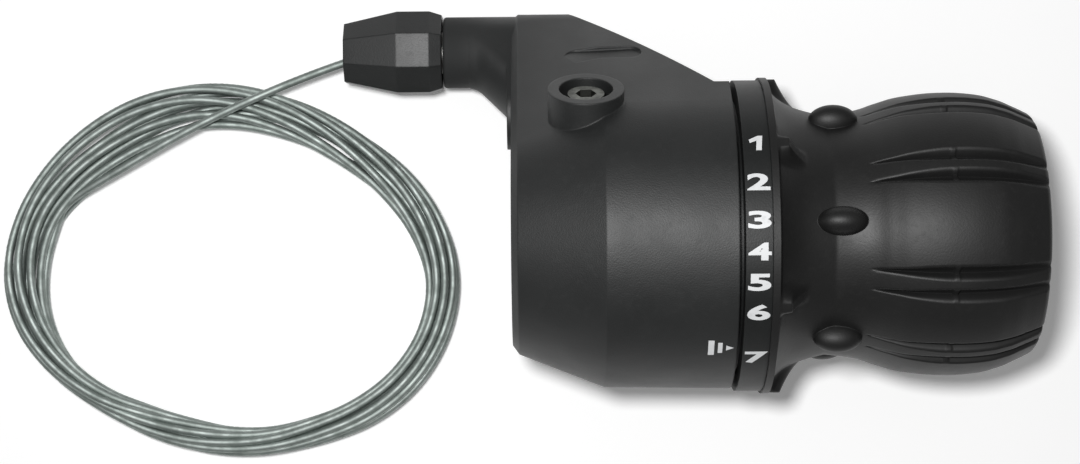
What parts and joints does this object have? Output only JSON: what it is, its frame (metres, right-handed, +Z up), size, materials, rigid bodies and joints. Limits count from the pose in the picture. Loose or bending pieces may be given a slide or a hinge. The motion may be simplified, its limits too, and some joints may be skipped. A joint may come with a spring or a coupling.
{
  "type": "twist grip shifter",
  "caption": "Bicycle twist grip gear shifter: bar-mounted housing with barrel adjuster, turning rubber grip with printed gear numbers, and its gear wire coiled beside it.",
  "frame": {"origin": "on the handlebar axis at the housing's inboard face", "axes": "+X along the bar to the grip's outboard end, +Y towards the adjuster side, +Z up from the table that the shifter lies on"},
  "size_m": [0.1479, 0.0654, 0.0441],
  "materials": {
    "black_nylon": "satin moulded nylon with a fine grain",
    "black_core": "satin moulded plastic with white printed gear numbers",
    "black_knob": "semi-gloss moulded plastic",
    "black_rubber": "satin moulded rubber",
    "white_acetal": "plain acetal",
    "white_liner": "slick liner tube",
    "spring_steel": "bright spring steel",
    "zinc_steel": "zinc plated steel",
    "black_steel": "blackened steel, worn grey at the socket",
    "wire_steel": "galvanised steel strand"
  },
  "bodies": {
    "housing": {"housing": "black_nylon", "clamp_screw": "black_steel", "clamp_nut": "zinc_steel", "cable_guide": "white_liner", "detent_spring": "spring_steel", "thrust_washer": "white_acetal", "end_washer": "white_acetal", "retaining_ring": "spring_steel", "adjuster_spring": "spring_steel", "wire_inner": "wire_steel", "wire_lead": "wire_steel", "wire_coil": "wire_steel"},
    "grip": {"grip_core": "black_core", "grip_rubber": "black_rubber", "cable_spool": "white_acetal", "wire_nipple": "zinc_steel", "wire_wound": "wire_steel"},
    "adjuster_slide": {"adjuster_washer": "spring_steel"},
    "adjuster": {"adjuster_knob": "black_knob", "adjuster_bolt": "zinc_steel"}
  },
  "joints": [
    {"name": "grip_twist", "type": "hinge", "parent": "housing", "child": "grip", "pos_m": [0, 0, 0], "axis": [1, 0, 0], "range_deg": [0, 84], "deforming": ["detent_spring"]},
    {"name": "adjuster_travel", "type": "slide", "parent": "housing", "child": "adjuster_slide", "axis": [-1, 0, 0], "range_m": [0, 0.003], "deforming": ["adjuster_spring"]},
    {"name": "adjuster_turn", "type": "hinge", "parent": "adjuster_slide", "child": "adjuster", "pos_m": [-0.01735, 0.0272, -0.016], "axis": [-1, 0, 0], "range_deg": [0, 1081]}
  ],
  "couplings": [
    {"joint": "adjuster_turn", "follows": "adjuster_travel", "rad_per_m": 6283.2}
  ]
}
